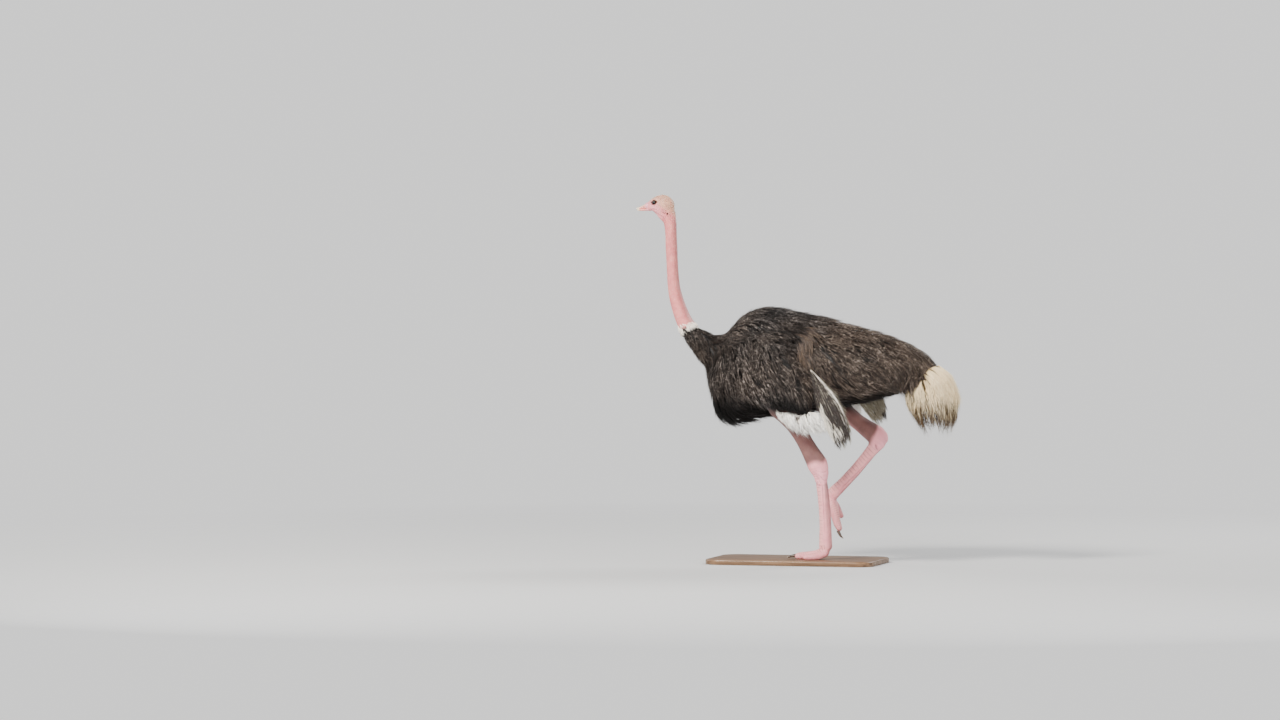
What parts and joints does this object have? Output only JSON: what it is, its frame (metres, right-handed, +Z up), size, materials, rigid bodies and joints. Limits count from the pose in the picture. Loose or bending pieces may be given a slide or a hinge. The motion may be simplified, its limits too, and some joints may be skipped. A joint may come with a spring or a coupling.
{
  "type": "ostrich",
  "caption": "Life-size standing model of a male ostrich in mid-stride: bare pink neck and legs, black body plumage, pale wing plumes and tail, on a flat base.",
  "frame": {"origin": "middle of the underside of the flat base, on the floor", "axes": "+Z up; the bill points along -X, so the bird walks towards -X; the bird's left side faces -Y"},
  "size_m": [1.9293, 0.6934, 2.1386],
  "materials": {
    "neck_skin": "matt bare skin with a thin pale down",
    "head_skin": "bare pink skin with a short pale bristly down",
    "leg_skin": "matt scaly skin, wrinkled at the hocks",
    "bill_horn": "smooth pink horn, paler at the tip",
    "eye": "wet gloss",
    "black_plumage": "loose soft plumes, matt",
    "white_plumes": "loose soft plumes, matt, soiled at the ends",
    "tail_plumes": "loose soft plumes, cream with brown ends",
    "claw_horn": "worn dark horn",
    "base_wood": "satin varnish"
  },
  "bodies": {
    "root": {"neck_upper": "neck_skin", "neck_middle": "neck_skin", "neck_lower": "neck_skin", "neck_base": "black_plumage", "head": "head_skin", "eye_left": "eye", "eye_right": "eye", "bill_upper": "bill_horn", "bill_lower": "bill_horn", "trunk": "black_plumage", "tail": "tail_plumes", "stand_base": "base_wood", "leg_left_shank": "leg_skin", "leg_left_tarsus": "leg_skin", "leg_left_toe_inner": "leg_skin", "leg_left_toe_outer": "leg_skin", "leg_left_claw": "claw_horn", "wing_left_coverts": "black_plumage", "wing_left_primaries": "white_plumes", "wing_left_secondaries": "white_plumes", "leg_right_shank": "leg_skin", "leg_right_tarsus": "leg_skin", "leg_right_toe_inner": "leg_skin", "leg_right_toe_outer": "leg_skin", "leg_right_claw": "claw_horn", "wing_right_coverts": "black_plumage", "wing_right_primaries": "white_plumes", "wing_right_secondaries": "white_plumes"}
  },
  "joints": []
}
